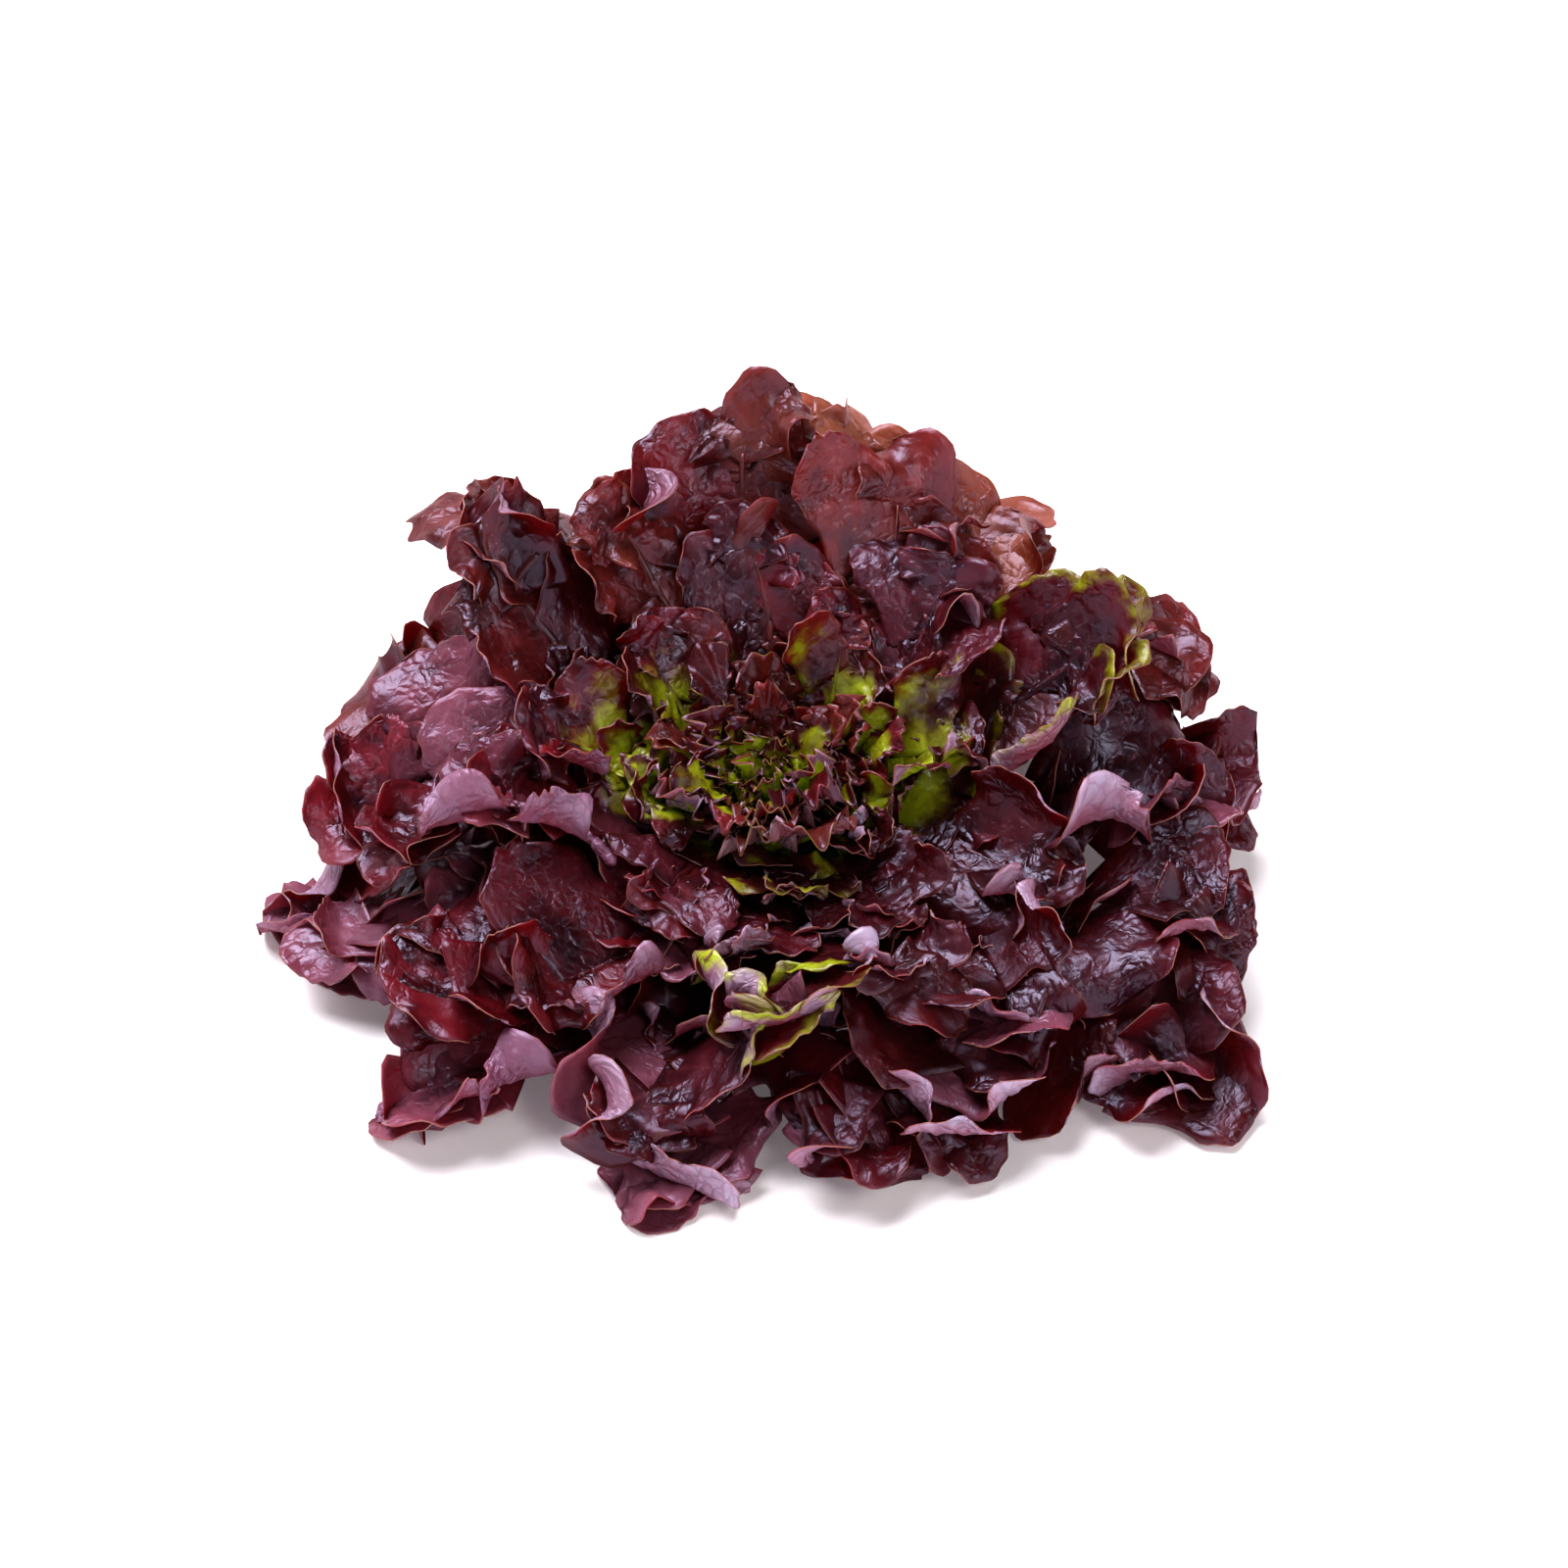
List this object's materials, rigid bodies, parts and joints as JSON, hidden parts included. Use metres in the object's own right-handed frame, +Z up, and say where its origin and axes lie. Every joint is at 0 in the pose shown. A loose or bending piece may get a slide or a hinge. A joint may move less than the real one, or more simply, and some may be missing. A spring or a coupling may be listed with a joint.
{
  "type": "sangria lettuce",
  "caption": "Open head of red oak-leaf lettuce: large waved burgundy leaves spread round a short cut stem and a small frilled yellow-green heart.",
  "frame": {"origin": "middle of the cut stem's flat face, on the floor", "axes": "+Z up along the stem, -Y towards the side where the leaves fell open, +X to the right seen from there"},
  "size_m": [0.291, 0.241, 0.1292],
  "materials": {
    "cut_stem": "moist cut stem, cream to pale green",
    "heart_leaf": "satin yellow-green leaf with dark red tips",
    "young_leaf": "glossy dark red leaf, yellow-green towards its base",
    "red_leaf": "glossy blistered burgundy upper face, matt pale mauve underside"
  },
  "bodies": {
    "root": {"stem": "cut_stem", "heart": "heart_leaf", "outer_leaf_01": "red_leaf", "outer_leaf_02": "red_leaf", "outer_leaf_03": "red_leaf", "outer_leaf_04": "red_leaf", "outer_leaf_05": "red_leaf", "outer_leaf_06": "red_leaf", "outer_leaf_07": "red_leaf", "outer_leaf_08": "red_leaf", "outer_leaf_09": "red_leaf", "outer_leaf_10": "red_leaf", "outer_leaf_11": "red_leaf", "outer_leaf_12": "red_leaf", "outer_leaf_13": "red_leaf", "outer_leaf_14": "red_leaf", "outer_leaf_15": "red_leaf", "outer_leaf_16": "red_leaf", "middle_leaf_01": "red_leaf", "middle_leaf_02": "red_leaf", "middle_leaf_03": "red_leaf", "middle_leaf_04": "red_leaf", "middle_leaf_05": "red_leaf", "middle_leaf_06": "red_leaf", "middle_leaf_07": "red_leaf", "middle_leaf_08": "red_leaf", "middle_leaf_09": "red_leaf", "middle_leaf_10": "red_leaf", "middle_leaf_11": "red_leaf", "middle_leaf_12": "red_leaf", "middle_leaf_13": "red_leaf", "middle_leaf_14": "red_leaf", "middle_leaf_15": "red_leaf", "middle_leaf_16": "red_leaf", "inner_leaf_01": "young_leaf", "inner_leaf_02": "young_leaf", "inner_leaf_03": "young_leaf", "inner_leaf_04": "young_leaf", "inner_leaf_05": "young_leaf", "inner_leaf_06": "young_leaf", "inner_leaf_07": "young_leaf", "inner_leaf_08": "young_leaf", "inner_leaf_09": "young_leaf", "inner_leaf_10": "young_leaf", "inner_leaf_11": "young_leaf", "inner_leaf_12": "young_leaf", "inner_leaf_13": "young_leaf", "inner_leaf_14": "young_leaf"}
  },
  "joints": []
}
